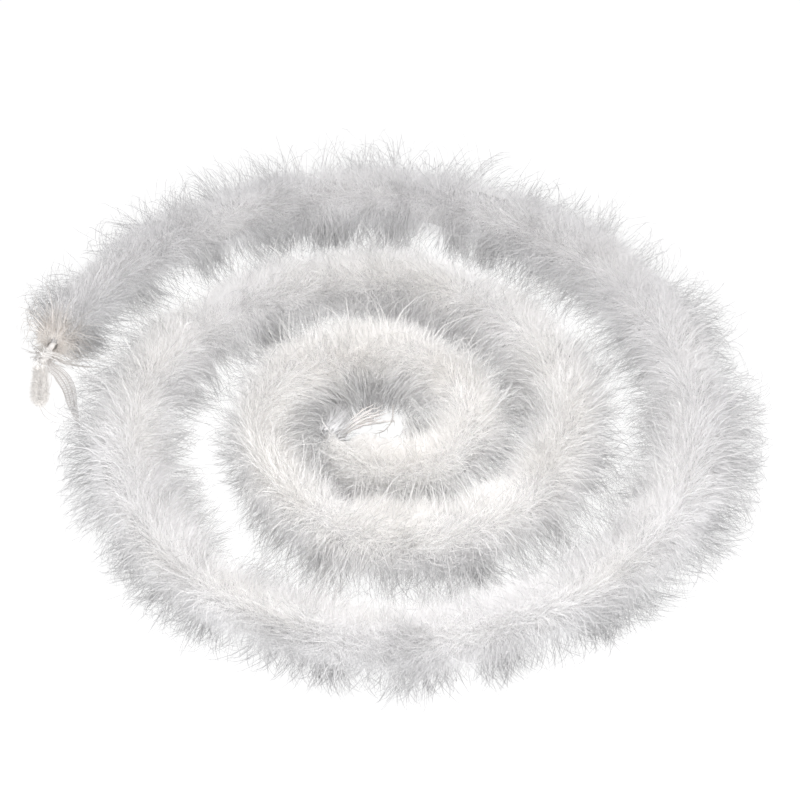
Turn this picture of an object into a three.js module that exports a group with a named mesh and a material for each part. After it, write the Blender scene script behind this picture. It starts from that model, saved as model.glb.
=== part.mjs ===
// Marabou feather boa, laid flat in a loose spiral of almost three turns.
//
// The boa is a soft core cord with down feathers bound round it. The down is built as sleeves,
// each a soft tube of feathers threaded on the cord and bent along the same spiral. The outer
// turn can be unrolled: it is cut into four lengths that hinge on the core cord, and its last
// few millimetres carry a whipped end with a folded cord loop. The inner end curls into the
// middle of the coil, where the cord is whipped and its plies fan out.
//
// Units are millimetres, +Z is up, and the boa rests on the plane z = 0. The origin is under
// the middle of the boa's box.
import * as THREE from 'three';

// ---- Driving dimensions ------------------------------------------------------------------

// The spiral: its radius at every eighth of a turn, from the outer end inwards (clockwise).
// Everything is laid out round the spiral's centre, which lies off the middle of the box.
const COIL_CENTRE = { x: 6, y: -21 };
const COIL_START_DEG = 162;
const COIL_STEP_DEG = -45;
const COIL_RADII = [
  194, 190, 181, 170, 160, 147, 142, 138,
  130, 117, 107, 100, 93, 84, 75, 69,
  64, 57, 50, 45, 43, 39, 32, 26,
];
const CORE_HEIGHT = 18.5;

// The core cord and the clearances round it
const CORE_RADIUS = 1.6;
const CORE_SIDES = 8;
const CORE_STEP = 4;
const CORE_ROUND_DEG = [30, 60];
const HEADING_SPAN = 4;
const GAP = 0.3;
const BORE_RADIUS = 2.0;

// The feather sleeves: how many of each length, from the outer end inwards
const SLEEVE_RUNS = [
  { body: 'outer_d', count: 2, length: 60 },
  { body: 'outer_c', count: 2, length: 60 },
  { body: 'outer_b', count: 2, length: 60 },
  { body: 'outer_a', count: 2, length: 60 },
  { body: 'coil', count: 5, length: 88 },
  { body: 'coil', count: 6, length: 80 },
  { body: 'coil', count: 5, length: 66 },
  { body: 'inner_tip', count: 1, length: 50 },
];
const SLEEVE_RADIUS_OUTER = 23;
const SLEEVE_RADIUS_INNER = 20.5;
const SLEEVE_SIDES = 12;
const SLEEVE_WAIST = 0.93;
const SHOULDER_LENGTH = 13;
const JOINT_LEAN_DEG = 17;
const SEAM_LEAN_DEG = 4;
const TUFT_LEAN_DEG = 38;
const FACE_EDGE = 0.8;
const SHOULDER_EDGE = 0.94;
const SHOULDER_STEP = 3;
const BORE_FRACTIONS = [0.2, 0.4, 0.6, 0.8];

// The outer end: a bare length of cord, a thread whipping, a knot and a folded cord loop
const OUTER_TAIL_LENGTH = 12;
const OUTER_TAIL_DROP = 0.02;
const OUTER_WHIPPING_LENGTH = 8;
const WHIPPING_RADIUS = 2.8;
const WHIPPING_GROOVE = 0.35;
const WRAP_LENGTH = 4 / 3;
const KNOT_RADIUS = 1.9;
const KNOT_STRETCH = { x: 1.3, y: 1, z: 0.8 };
const KNOT_PLACE = 0.35;
const LOOP_BEND_RADIUS = 1.9;
const LOOP_LEG_LENGTH = 16;
const LOOP_SLOPE_DEG = 32;
const LOOP_HEADING_DEG = -88;
const LOOP_CLEARANCE = 0.42;
const LOOP_STEPS = 20;

// The netting tape and the bare quill that lie beside the outer end
const NET_WIDTH = 5;
const NET_THICKNESS = 0.8;
const NET_STEPS = 12;
const QUILL_RADIUS = 0.6;
const QUILL_STEPS = 6;
const STRAND_SIDES = 6;

// The inner end: a curl of bare cord, a whipping and the fanned plies
const INNER_TAIL_LENGTH = 7.5;
const INNER_TAIL_BEND = 7;
const INNER_TAIL_DROP = 0.012;
const INNER_WHIPPING_LENGTH = 4;
const PLY_RADIUS = 0.5;
const PLY_SPACING = 1.35;
const PLY_COUNT_ROUND = 6;
const PLY_LENGTH = 28;
const PLY_FAN = 4.2;
const PLY_RISE = 7;
const PLY_SAG = 10;
const PLY_STATIONS = [0, 0.2, 0.45, 0.7, 1];
const PLY_STEPS = 6;

// ---- Materials ---------------------------------------------------------------------------

const material = (color, roughness) =>
  new THREE.MeshStandardMaterial({ color, roughness, metalness: 0 });
const MATERIALS = {
  down: material(0xf1eeeb, 0.95),
  cord: material(0xe9e0d3, 0.85),
  thread: material(0xf8f6f2, 0.7),
  netting: material(0xd4ccc2, 0.9),
  quill: material(0xd9d5cf, 0.5),
  plies: material(0xf3ede4, 0.8),
};

// ---- The route that the core cord follows -------------------------------------------------

const radians = THREE.MathUtils.degToRad;
const UP = new THREE.Vector3(0, 0, 1);
const LAST_EIGHTH = COIL_RADII.length - 1;
const SAMPLES_PER_EIGHTH = 48;

// A smooth curve through the radii
function coilRadius(eighth) {
  const i = Math.min(Math.floor(eighth), LAST_EIGHTH - 1);
  const f = eighth - i;
  const near = (k) => COIL_RADII[THREE.MathUtils.clamp(i + k, 0, LAST_EIGHTH)];
  const [a, b, c, d] = [near(-1), near(0), near(1), near(2)];
  const cubic = 3 * b - a - 3 * c + d;
  const square = 2 * a - 5 * b + 4 * c - d;
  return b + 0.5 * f * (c - a + f * (square + f * cubic));
}

function coilPoint(eighth) {
  const angle = radians(COIL_START_DEG + COIL_STEP_DEG * eighth);
  const r = coilRadius(eighth);
  return new THREE.Vector3(r * Math.cos(angle), r * Math.sin(angle), CORE_HEIGHT);
}

const coilSamples = [];
for (let k = 0; k <= LAST_EIGHTH * SAMPLES_PER_EIGHTH; k++) {
  const point = coilPoint(k / SAMPLES_PER_EIGHTH);
  const before = coilSamples[k - 1];
  const s = before ? before.s + point.distanceTo(before.point) : 0;
  coilSamples.push({ point, s });
}
const COIL_LENGTH = coilSamples[coilSamples.length - 1].s;

function alongCoil(s) {
  const last = coilSamples.length - 1;
  let k = 1;
  while (k < last && coilSamples[k].s < s) k++;
  const [a, b] = [coilSamples[k - 1], coilSamples[k]];
  return a.point.clone().lerp(b.point, (s - a.s) / (b.s - a.s));
}

const outerHeading = alongCoil(0).sub(alongCoil(HEADING_SPAN)).normalize();
const innerHeading = alongCoil(COIL_LENGTH)
  .sub(alongCoil(COIL_LENGTH - HEADING_SPAN / 2))
  .normalize();
const innerTurn = new THREE.Vector3().crossVectors(innerHeading, UP);

// A point of the route, s millimetres along it from the first sleeve's outer end. Before the
// coil it runs straight on and sinks; after the coil it curls to the right and sinks.
function route(s) {
  if (s < 0) {
    const p = alongCoil(0).addScaledVector(outerHeading, -s);
    p.z -= OUTER_TAIL_DROP * s * s;
    return p;
  }
  if (s > COIL_LENGTH) {
    const past = s - COIL_LENGTH;
    const angle = past / INNER_TAIL_BEND;
    const p = alongCoil(COIL_LENGTH);
    p.addScaledVector(innerHeading, INNER_TAIL_BEND * Math.sin(angle));
    p.addScaledVector(innerTurn, INNER_TAIL_BEND * (1 - Math.cos(angle)));
    p.z -= INNER_TAIL_DROP * past * past;
    return p;
  }
  return alongCoil(s);
}

// The route's point and directions at s: ahead along the cord, to its side, and above it
function frameAt(s) {
  const point = route(s);
  const ahead = route(s + 0.5).sub(route(s - 0.5)).normalize();
  const side = new THREE.Vector3().crossVectors(ahead, UP).normalize();
  const above = new THREE.Vector3().crossVectors(side, ahead);
  return { point, ahead, side, above };
}

// Bends a solid that was turned about the Y axis so that its Y runs along the route, and
// flattens whatever would reach below the plane that the boa rests on
function bendAlongRoute(geometry) {
  const position = geometry.attributes.position;
  const vertex = new THREE.Vector3();
  const frames = new Map();
  for (let i = 0; i < position.count; i++) {
    vertex.fromBufferAttribute(position, i);
    if (!frames.has(vertex.y)) frames.set(vertex.y, frameAt(vertex.y));
    const { point, side, above } = frames.get(vertex.y);
    const bent = point.clone();
    bent.addScaledVector(side, vertex.x).addScaledVector(above, vertex.z);
    position.setXYZ(i, bent.x, bent.y, Math.max(bent.z, 0));
  }
  geometry.computeVertexNormals();
  return geometry;
}

// ---- Where the sleeves and the joints lie --------------------------------------------------

const sleeves = [];
for (const run of SLEEVE_RUNS) {
  for (let k = 0; k < run.count; k++) {
    sleeves.push({ body: run.body, length: run.length });
  }
}
const listedLength = sleeves.reduce((sum, sleeve) => sum + sleeve.length, 0);
let reached = 0;
for (const [index, sleeve] of sleeves.entries()) {
  sleeve.from = reached;
  reached += sleeve.length * COIL_LENGTH / listedLength;
  sleeve.to = reached;
  sleeve.jointBefore = index > 0 && sleeves[index - 1].body !== sleeve.body;
  sleeve.jointAfter = index < sleeves.length - 1 && sleeves[index + 1].body !== sleeve.body;
}

// ---- Pieces ------------------------------------------------------------------------------

const boa = new THREE.Group();
boa.position.set(COIL_CENTRE.x, COIL_CENTRE.y, 0);

function add(name, geometry, look) {
  const mesh = new THREE.Mesh(geometry, look);
  mesh.name = name;
  boa.add(mesh);
  return mesh;
}

const sleeveRadiusAt = (s) =>
  THREE.MathUtils.lerp(SLEEVE_RADIUS_OUTER, SLEEVE_RADIUS_INNER, s / COIL_LENGTH);

// How far back from a sleeve's end its face lies, at a distance r from the cord
const faceDepth = (r, lean) => GAP / 2 + r * Math.tan(radians(lean));

// The outline of half a sleeve, from its bore to its shoulder
function endOutline(radius, lean) {
  const edge = FACE_EDGE * radius;
  const edgeDepth = faceDepth(edge, lean);
  return [
    [BORE_RADIUS, faceDepth(BORE_RADIUS, lean)],
    [edge, edgeDepth],
    [SHOULDER_EDGE * radius, edgeDepth + SHOULDER_STEP],
    [radius, Math.max(SHOULDER_LENGTH, edgeDepth + 2 * SHOULDER_STEP)],
  ];
}

const boreStations = (from, to) => BORE_FRACTIONS.map((f) => THREE.MathUtils.lerp(from, to, f));

function leanOf(isJoint, isEnd) {
  if (isEnd) return TUFT_LEAN_DEG;
  return isJoint ? JOINT_LEAN_DEG : SEAM_LEAN_DEG;
}

// One sleeve of down: two puffs with a waist between them, on a bore for the cord
function sleeveGeometry(sleeve, index) {
  const { from, to } = sleeve;
  const middle = (from + to) / 2;
  const radius = sleeveRadiusAt(middle);
  const headLean = leanOf(sleeve.jointBefore, index === 0);
  const tailLean = leanOf(sleeve.jointAfter, index === sleeves.length - 1);
  const head = endOutline(radius, headLean).map(([r, d]) => [r, from + d]);
  const tail = endOutline(radius, tailLean).map(([r, d]) => [r, to - d]);
  const bore = boreStations(from, to).map((s) => [BORE_RADIUS, s]);
  const loop = [
    ...head,
    [SLEEVE_WAIST * radius, middle],
    ...tail.reverse(),
    ...bore.reverse(),
  ];
  const points = loop.map(([r, s]) => new THREE.Vector2(r, s));
  points.push(points[0].clone());
  const turn = Math.PI / SLEEVE_SIDES;
  return bendAlongRoute(new THREE.LatheGeometry(points, SLEEVE_SIDES, turn));
}

sleeves.forEach((sleeve, index) => {
  const number = String(index + 1).padStart(2, '0');
  add(`down_sleeve_${number}`, sleeveGeometry(sleeve, index), MATERIALS.down);
});

// A length of the core cord from s = from to s = to. A round end is half a ball about that s,
// so that the cord can turn there about the joint.
function cordGeometry(from, to, roundFrom, roundTo) {
  const stations = [];
  for (const sleeve of sleeves) {
    for (const s of [sleeve.from, ...boreStations(sleeve.from, sleeve.to)]) {
      if (s > from + GAP && s < to - GAP) stations.push(s);
    }
  }
  if (to > COIL_LENGTH) stations.push(COIL_LENGTH - CORE_RADIUS);
  for (let s = from + CORE_STEP; s < Math.min(to, 0); s += CORE_STEP) stations.push(s);
  for (let s = COIL_LENGTH + CORE_STEP; s < to; s += CORE_STEP) stations.push(s);
  stations.sort((a, b) => a - b);
  const ball = CORE_ROUND_DEG.map(radians);
  const outline = [];
  if (roundFrom) {
    outline.push([0, from - CORE_RADIUS]);
    ball.slice().reverse().forEach((a) => {
      outline.push([CORE_RADIUS * Math.cos(a), from - CORE_RADIUS * Math.sin(a)]);
    });
  } else {
    outline.push([0, from]);
  }
  outline.push([CORE_RADIUS, from]);
  stations.forEach((s) => outline.push([CORE_RADIUS, s]));
  outline.push([CORE_RADIUS, to]);
  if (roundTo) {
    ball.forEach((a) => {
      outline.push([CORE_RADIUS * Math.cos(a), to + CORE_RADIUS * Math.sin(a)]);
    });
    outline.push([0, to + CORE_RADIUS]);
  } else {
    outline.push([0, to]);
  }
  const points = outline.map(([r, s]) => new THREE.Vector2(r, s));
  return bendAlongRoute(new THREE.LatheGeometry(points, CORE_SIDES));
}

// The cord of each body. Every joint's ball belongs to the body that is moved there.
const jointAfterBody = (body) => sleeves.findLast((sleeve) => sleeve.body === body).to;
const clear = CORE_RADIUS + GAP;
const outerBodies = ['outer_d', 'outer_c', 'outer_b', 'outer_a'];
let cordFrom = -OUTER_TAIL_LENGTH;
for (const body of outerBodies) {
  const joint = jointAfterBody(body);
  add(`core_cord_${body}`, cordGeometry(cordFrom, joint, false, true), MATERIALS.cord);
  cordFrom = joint + clear;
}
const innerJoint = jointAfterBody('coil');
add('core_cord_coil', cordGeometry(cordFrom, innerJoint - clear, false, false), MATERIALS.cord);
const innerCordEnd = COIL_LENGTH + INNER_TAIL_LENGTH;
add('core_cord_inner', cordGeometry(innerJoint, innerCordEnd, true, false), MATERIALS.cord);

// A thread whipping: a ring of wraps round the cord
function whippingGeometry(from, length) {
  const wraps = Math.round(length / WRAP_LENGTH);
  const groove = WHIPPING_RADIUS - WHIPPING_GROOVE;
  const bore = CORE_RADIUS + GAP;
  const outline = [[bore, from]];
  for (let k = 0; k < wraps; k++) {
    outline.push([groove, from + k * WRAP_LENGTH]);
    outline.push([WHIPPING_RADIUS, from + (k + 0.5) * WRAP_LENGTH]);
  }
  outline.push([groove, from + length]);
  outline.push([bore, from + length]);
  outline.push([bore, from + length / 2]);
  outline.push([bore, from]);
  const points = outline.map(([r, s]) => new THREE.Vector2(r, s));
  return bendAlongRoute(new THREE.LatheGeometry(points, SLEEVE_SIDES));
}
const outerWhipping = -OUTER_TAIL_LENGTH + GAP;
const innerWhipping = innerCordEnd - INNER_WHIPPING_LENGTH - GAP;
const wraps = [
  ['outer_whipping', outerWhipping, OUTER_WHIPPING_LENGTH],
  ['inner_whipping', innerWhipping, INNER_WHIPPING_LENGTH],
];
for (const [name, from, length] of wraps) {
  add(name, whippingGeometry(from, length), MATERIALS.thread);
}

// The thread knot that sits on the outer whipping
const knotFrame = frameAt(outerWhipping + KNOT_PLACE * OUTER_WHIPPING_LENGTH);
const knotHeight = WHIPPING_RADIUS + KNOT_STRETCH.z * KNOT_RADIUS + GAP;
const knot = add('outer_knot', new THREE.IcosahedronGeometry(KNOT_RADIUS, 1), MATERIALS.thread);
knot.scale.copy(KNOT_STRETCH);
knot.position.copy(knotFrame.point);
knot.position.addScaledVector(knotFrame.above, knotHeight);

// The folded cord loop: a ring of cord drawn out into two legs. Its near bend is centred on
// the vertical axis that it swings about.
const loopReach = LOOP_BEND_RADIUS + CORE_RADIUS + LOOP_CLEARANCE;
const tailEnd = frameAt(-OUTER_TAIL_LENGTH);
const loopHinge = tailEnd.point.clone().addScaledVector(tailEnd.ahead, -loopReach);
function loopGeometry() {
  const ring = new THREE.TorusGeometry(LOOP_BEND_RADIUS, CORE_RADIUS, CORE_SIDES, LOOP_STEPS);
  const position = ring.attributes.position;
  for (let i = 0; i < position.count; i++) {
    const y = position.getY(i);
    if (y < -GAP / 10) position.setY(i, y - LOOP_LEG_LENGTH);
  }
  return ring;
}
const loop = add('end_loop', loopGeometry(), MATERIALS.cord);
loop.rotation.set(radians(LOOP_SLOPE_DEG), 0, radians(LOOP_HEADING_DEG + 90), 'ZXY');
loop.position.copy(loopHinge);

// A flat or round strip that lies along a hand-laid line of points
function laidAlong(points, section, steps) {
  const path = new THREE.CatmullRomCurve3(points.map((p) => new THREE.Vector3(...p)));
  return new THREE.ExtrudeGeometry(section, { steps, bevelEnabled: false, extrudePath: path });
}

function roundSection(radius, sides) {
  const corners = [];
  for (let k = 0; k < sides; k++) {
    const angle = 2 * Math.PI * k / sides;
    corners.push(new THREE.Vector2(radius * Math.cos(angle), radius * Math.sin(angle)));
  }
  return new THREE.Shape(corners);
}

function flatSection(width, thickness) {
  const [w, t] = [width / 2, thickness / 2];
  const corners = [[-t, -w], [t, -w], [t, w], [-t, w]];
  return new THREE.Shape(corners.map(([x, y]) => new THREE.Vector2(x, y)));
}

const NET_ROUTE = [
  [-184, 48, 13], [-179.5, 45, 11], [-175.5, 40, 8.5], [-173, 34, 6], [-171, 27, 4], [-168, 19, 3],
];
const QUILL_ROUTE = [[-183.5, 53, 15], [-174, 50, 14], [-166, 49, 13], [-158, 50, 11.5]];
const netSection = flatSection(NET_WIDTH, NET_THICKNESS);
const quillSection = roundSection(QUILL_RADIUS, STRAND_SIDES);
add('net_tail', laidAlong(NET_ROUTE, netSection, NET_STEPS), MATERIALS.netting);
add('bare_quill', laidAlong(QUILL_ROUTE, quillSection, QUILL_STEPS), MATERIALS.quill);

// The fanned plies: one in the middle and the rest round it, spreading and sinking
const plyStart = frameAt(innerCordEnd + GAP);
function plyRoute(side, above) {
  const points = [];
  for (const f of PLY_STATIONS) {
    const spread = 1 + PLY_FAN * f ** 1.4;
    const p = plyStart.point.clone();
    p.addScaledVector(plyStart.ahead, PLY_LENGTH * f);
    p.addScaledVector(plyStart.side, side * spread);
    p.addScaledVector(plyStart.above, above * (1 + 0.5 * PLY_FAN * f));
    p.z += PLY_RISE * f - PLY_SAG * f * f;
    points.push(p.toArray());
  }
  return points;
}
const plyOffsets = [[0, 0]];
for (let k = 0; k < PLY_COUNT_ROUND; k++) {
  const angle = 2 * Math.PI * k / PLY_COUNT_ROUND;
  plyOffsets.push([PLY_SPACING * Math.cos(angle), PLY_SPACING * Math.sin(angle)]);
}
const plySection = roundSection(PLY_RADIUS, STRAND_SIDES);
plyOffsets.forEach(([side, above], index) => {
  const geometry = laidAlong(plyRoute(side, above), plySection, PLY_STEPS);
  add(`inner_ply_${index + 1}`, geometry, MATERIALS.plies);
});

export default boa;
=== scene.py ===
"""A white marabou feather boa, laid flat in a loose spiral: the visual model round its frame.

The boa is a twisted cord with down bound round it. Lengths below are in millimetres along or round
that cord and become metres when a mesh is made. Every place comes from the cord's route, which is
the one the frame's solids were built on.
"""
import math

import bpy
import numpy as np
from mathutils import Matrix, Vector


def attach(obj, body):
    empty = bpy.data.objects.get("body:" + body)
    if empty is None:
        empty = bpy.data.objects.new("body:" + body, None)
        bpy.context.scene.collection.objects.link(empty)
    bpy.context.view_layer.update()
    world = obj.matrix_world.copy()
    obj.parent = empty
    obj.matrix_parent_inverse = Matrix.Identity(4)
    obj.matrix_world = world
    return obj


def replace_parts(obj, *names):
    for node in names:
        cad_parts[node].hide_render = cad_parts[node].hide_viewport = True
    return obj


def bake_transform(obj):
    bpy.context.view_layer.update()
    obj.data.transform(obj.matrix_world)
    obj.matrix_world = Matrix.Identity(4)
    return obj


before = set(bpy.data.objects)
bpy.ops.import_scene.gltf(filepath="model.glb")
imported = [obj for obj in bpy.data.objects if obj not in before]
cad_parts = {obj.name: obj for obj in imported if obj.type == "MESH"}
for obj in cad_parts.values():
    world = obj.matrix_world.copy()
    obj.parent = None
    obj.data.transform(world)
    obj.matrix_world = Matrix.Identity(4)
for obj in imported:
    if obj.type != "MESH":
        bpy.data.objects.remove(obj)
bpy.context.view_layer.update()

MM = 0.001
rng = np.random.default_rng(20240611)

# ---- Camera, light and floor ----------------------------------------------------------------

CAMERA_TARGET = Vector((0.014, 0.015, 0.0))
CAMERA_DISTANCE = 1.04
CAMERA_ELEVATION = math.radians(46)
CAMERA_LENS = 84.9


def aim(obj, target):
    obj.rotation_euler = (Vector(target) - obj.location).to_track_quat("-Z", "Y").to_euler()


def link(obj):
    bpy.context.scene.collection.objects.link(obj)
    return obj


camera = link(bpy.data.objects.new("camera", bpy.data.cameras.new("camera")))
camera.data.lens = CAMERA_LENS
camera.location = CAMERA_TARGET + CAMERA_DISTANCE * Vector(
    (0, -math.cos(CAMERA_ELEVATION), math.sin(CAMERA_ELEVATION))
)
aim(camera, CAMERA_TARGET)
bpy.context.scene.camera = camera


def area_light(name, location, target, power, size, colour):
    """A round soft light, unseen by the camera."""
    light = bpy.data.lights.new(name, "AREA")
    light.shape = "DISK"
    light.energy, light.size, light.color = power, size, colour
    obj = link(bpy.data.objects.new(name, light))
    obj.location = location
    obj.visible_camera = False
    aim(obj, target)


KEY_COLOUR = (1.0, 0.986, 0.978)
FILL_COLOUR = (1.0, 0.994, 0.994)
WORLD_COLOUR = (0.98, 0.98, 1.0, 1)
WORLD_STRENGTH = 0.49
DIFFUSE_BOUNCES = 12
area_light("key", (0.02, -0.09, 0.30), (0.01, -0.05, 0.0), 0.98, 0.30, KEY_COLOUR)
area_light("fill", (0.0, -1.10, 0.50), (0.0, 0.0, 0.0), 8.2, 0.80, FILL_COLOUR)

world = bpy.data.worlds.new("studio")
bpy.context.scene.world = world
world.use_nodes = True
world.node_tree.nodes["Background"].inputs["Color"].default_value = WORLD_COLOUR
world.node_tree.nodes["Background"].inputs["Strength"].default_value = WORLD_STRENGTH

bpy.context.scene.view_settings.view_transform = "Standard"
bpy.context.scene.cycles.diffuse_bounces = DIFFUSE_BOUNCES

# ---- Materials ------------------------------------------------------------------------------


SPECULAR = 0.15
ROUGHNESS_SPREAD = 0.12
NAP_DEPTH = 0.0004
NOISE_DETAIL = 6
STREAK_DARK, STREAK_LIGHT = 0.3, 0.62


def new_material(name, roughness):
    """A node material and its Principled shader."""
    material = bpy.data.materials.new(name)
    material.use_nodes = True
    shader = material.node_tree.nodes["Principled BSDF"]
    shader.inputs["Roughness"].default_value = roughness
    shader.inputs["Specular IOR Level"].default_value = SPECULAR
    return material, material.node_tree, shader


def ramp_node(tree, stops):
    """A colour ramp with a colour at each of its stops."""
    node = tree.nodes.new("ShaderNodeValToRGB")
    ramp = node.color_ramp
    while len(ramp.elements) < len(stops):
        ramp.elements.new(0.5)
    for element, (place, colour) in zip(ramp.elements, stops):
        element.position = place
        element.color = (*colour, 1)
    return node


def fibre_material(name, dark, light, scale, bump, roughness=0.85):
    """Spun or matted fibre: flecks of two colours and a nap."""
    material, tree, shader = new_material(name, roughness)
    place = tree.nodes.new("ShaderNodeTexCoord")
    noise = tree.nodes.new("ShaderNodeTexNoise")
    noise.inputs["Scale"].default_value = scale
    noise.inputs["Detail"].default_value = NOISE_DETAIL
    colours = ramp_node(tree, [(STREAK_DARK, dark), (STREAK_LIGHT, light)])
    nap = tree.nodes.new("ShaderNodeBump")
    nap.inputs["Strength"].default_value = bump
    nap.inputs["Distance"].default_value = NAP_DEPTH
    rough = tree.nodes.new("ShaderNodeMapRange")
    rough.inputs["To Min"].default_value = roughness - ROUGHNESS_SPREAD
    rough.inputs["To Max"].default_value = min(1.0, roughness + ROUGHNESS_SPREAD)
    join = tree.links.new
    join(place.outputs["Object"], noise.inputs["Vector"])
    join(noise.outputs["Fac"], colours.inputs["Fac"])
    join(noise.outputs["Fac"], rough.inputs["Value"])
    join(noise.outputs["Fac"], nap.inputs["Height"])
    join(colours.outputs["Color"], shader.inputs["Base Color"])
    join(rough.outputs["Result"], shader.inputs["Roughness"])
    join(nap.outputs["Normal"], shader.inputs["Normal"])
    return material


STRAND_MAP = "OFBake"
STRAND_ROUGHNESS = 0.9
SHEEN = 0.15
SHEEN_ROUGHNESS = 0.6


def strand_material(name, tints_and_painted_shade, painted_shades):
    """Down barbs. The map's u picks the feather's tint, which for the down carries painted shade
    and painted light, and its v runs from the root to the tip through greys of painted shade.
    """
    material, tree, shader = new_material(name, STRAND_ROUGHNESS)
    shader.inputs["Sheen Weight"].default_value = SHEEN
    shader.inputs["Sheen Roughness"].default_value = SHEEN_ROUGHNESS
    place = tree.nodes.new("ShaderNodeUVMap")
    place.uv_map = STRAND_MAP
    parts = tree.nodes.new("ShaderNodeSeparateXYZ")
    tint_and_painted_shade = ramp_node(tree, tints_and_painted_shade)
    painted_shade = ramp_node(tree, [(along, (grey, grey, grey)) for along, grey in painted_shades])
    blend = tree.nodes.new("ShaderNodeMix")
    blend.data_type = "RGBA"
    blend.blend_type = "MULTIPLY"
    blend.inputs["Factor"].default_value = 1
    join = tree.links.new
    join(place.outputs["UV"], parts.inputs["Vector"])
    join(parts.outputs["X"], tint_and_painted_shade.inputs["Fac"])
    join(parts.outputs["Y"], painted_shade.inputs["Fac"])
    join(tint_and_painted_shade.outputs["Color"], blend.inputs["A"])
    join(painted_shade.outputs["Color"], blend.inputs["B"])
    join(blend.outputs["Result"], shader.inputs["Base Color"])
    return material


# Grey to white down, the greys painted shade low down, at the sides and on the outer turns and the
# whites painted light along the top, and the beige of the outer end in the last two
DOWN_TINTS_AND_PAINTED_SHADE = [
    (0.00, (0.880, 0.880, 0.888)),
    (0.20, (0.900, 0.898, 0.905)),
    (0.38, (0.918, 0.914, 0.920)),
    (0.52, (0.932, 0.927, 0.932)),
    (0.66, (0.943, 0.938, 0.939)),
    (0.80, (0.954, 0.946, 0.936)),
    (0.90, (0.966, 0.957, 0.946)),
    (0.95, (0.890, 0.855, 0.820)),
    (1.00, (0.880, 0.840, 0.800)),
]
# The barbs are painted a little darker at their roots and tips, and the wisps much darker towards
# their tips: painted shade
barb_look = strand_material("down_barbs", DOWN_TINTS_AND_PAINTED_SHADE, [(0.0, 0.94), (0.55, 1.0), (1.0, 0.93)])
wisp_look = strand_material("down_wisps", DOWN_TINTS_AND_PAINTED_SHADE, [(0.0, 0.93), (0.35, 0.77), (1.0, 0.50)])
FUZZ_TINTS = [(0.0, (0.86, 0.84, 0.82)), (1.0, (0.96, 0.95, 0.935))]
# The fuzz is painted darker at its roots: painted shade
fuzz_look = strand_material("cotton_fuzz", FUZZ_TINTS, [(0.0, 0.92), (1.0, 1.0)])
# The mat is dark grey: painted shade for the depth of the down under the barbs
painted_shade_down_look = fibre_material("down_mat_painted_shade", (0.47, 0.465, 0.47), (0.56, 0.555, 0.555), 160, 0.5, 0.88)
cord_look = fibre_material("cord_cotton", (0.82, 0.79, 0.765), (0.94, 0.925, 0.905), 900, 0.4)
thread_look = fibre_material("thread_white", (0.7, 0.68, 0.66), (0.84, 0.825, 0.81), 1500, 0.3, 0.7)
net_look = fibre_material("netting", (0.50, 0.475, 0.46), (0.70, 0.675, 0.66), 1200, 0.35)
quill_look = fibre_material("quill_horn", (0.40, 0.385, 0.37), (0.58, 0.56, 0.545), 260, 0.12, 0.45)
ply_look = fibre_material("plies_yarn", (0.73, 0.695, 0.675), (0.88, 0.86, 0.845), 1100, 0.35)

# ---- The floor and the walls ----------------------------------------------------------------

FLOOR_REACH, FLOOR_GREY, FLOOR_GLOW = 6.0, 0.12, 0.94
WALL_REACH, WALL_LOW, WALL_HIGH, WALL_GLOW = 14.0, -0.5, 20.0, 1.0
WALL_FACES = [(0, 1, 2, 3), (4, 5, 6, 7), (0, 1, 5, 4), (1, 2, 6, 5), (2, 3, 7, 6), (3, 0, 4, 7)]


def square(reach, height):
    return [(-reach, -reach, height), (reach, -reach, height), (reach, reach, height),
            (-reach, reach, height)]


def studio_object(name, verts, faces, grey, glow):
    """A matt sheet that glows white, so that it stays pale where little light falls."""
    mesh = bpy.data.meshes.new(name)
    mesh.from_pydata(verts, [], faces)
    look, _, shader = new_material(name, 1.0)
    shader.inputs["Base Color"].default_value = (grey, grey, grey, 1)
    shader.inputs["Specular IOR Level"].default_value = 0
    shader.inputs["Emission Color"].default_value = (1, 1, 1, 1)
    shader.inputs["Emission Strength"].default_value = glow
    mesh.materials.append(look)
    return link(bpy.data.objects.new(name, mesh))


floor = studio_object("floor", square(FLOOR_REACH, 0), [(0, 1, 2, 3)], FLOOR_GREY, FLOOR_GLOW)

# White walls a long way off, which only the camera sees, so that low views have no hard horizon
wall_corners = square(WALL_REACH, WALL_LOW) + square(WALL_REACH, WALL_HIGH)
walls = studio_object("backdrop", wall_corners, WALL_FACES, 0, WALL_GLOW)
walls.data.materials[0].cycles.emission_sampling = "NONE"
walls.visible_diffuse = walls.visible_glossy = walls.visible_transmission = False
walls.visible_volume_scatter = walls.visible_shadow = False

# ---- The route that the core cord follows ---------------------------------------------------

# The coil's centre in the frame, the angle it starts at, and its radius at every eighth of a turn
COIL_CENTRE = np.array([6.0, -21.0, 0.0])
COIL_START_DEG = 162
COIL_STEP_DEG = -45
COIL_RADII = np.array([
    194, 190, 181, 170, 160, 147, 142, 138,
    130, 117, 107, 100, 93, 84, 75, 69,
    64, 57, 50, 45, 43, 39, 32, 26,
], float)
CORE_HEIGHT = 18.5
SAMPLES_PER_EIGHTH = 48
HEADING_SPAN = 4.0
LAST_EIGHTH = len(COIL_RADII) - 1
UP = np.array([0.0, 0.0, 1.0])

OUTER_TAIL_LENGTH = 12.0
OUTER_TAIL_DROP = 0.02
INNER_TAIL_LENGTH = 7.5
INNER_TAIL_BEND = 7.0
INNER_TAIL_DROP = 0.012


def unit(v):
    """Vectors of length 1 along v."""
    return v / np.maximum(np.linalg.norm(v, axis=-1, keepdims=True), 1e-9)


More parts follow.
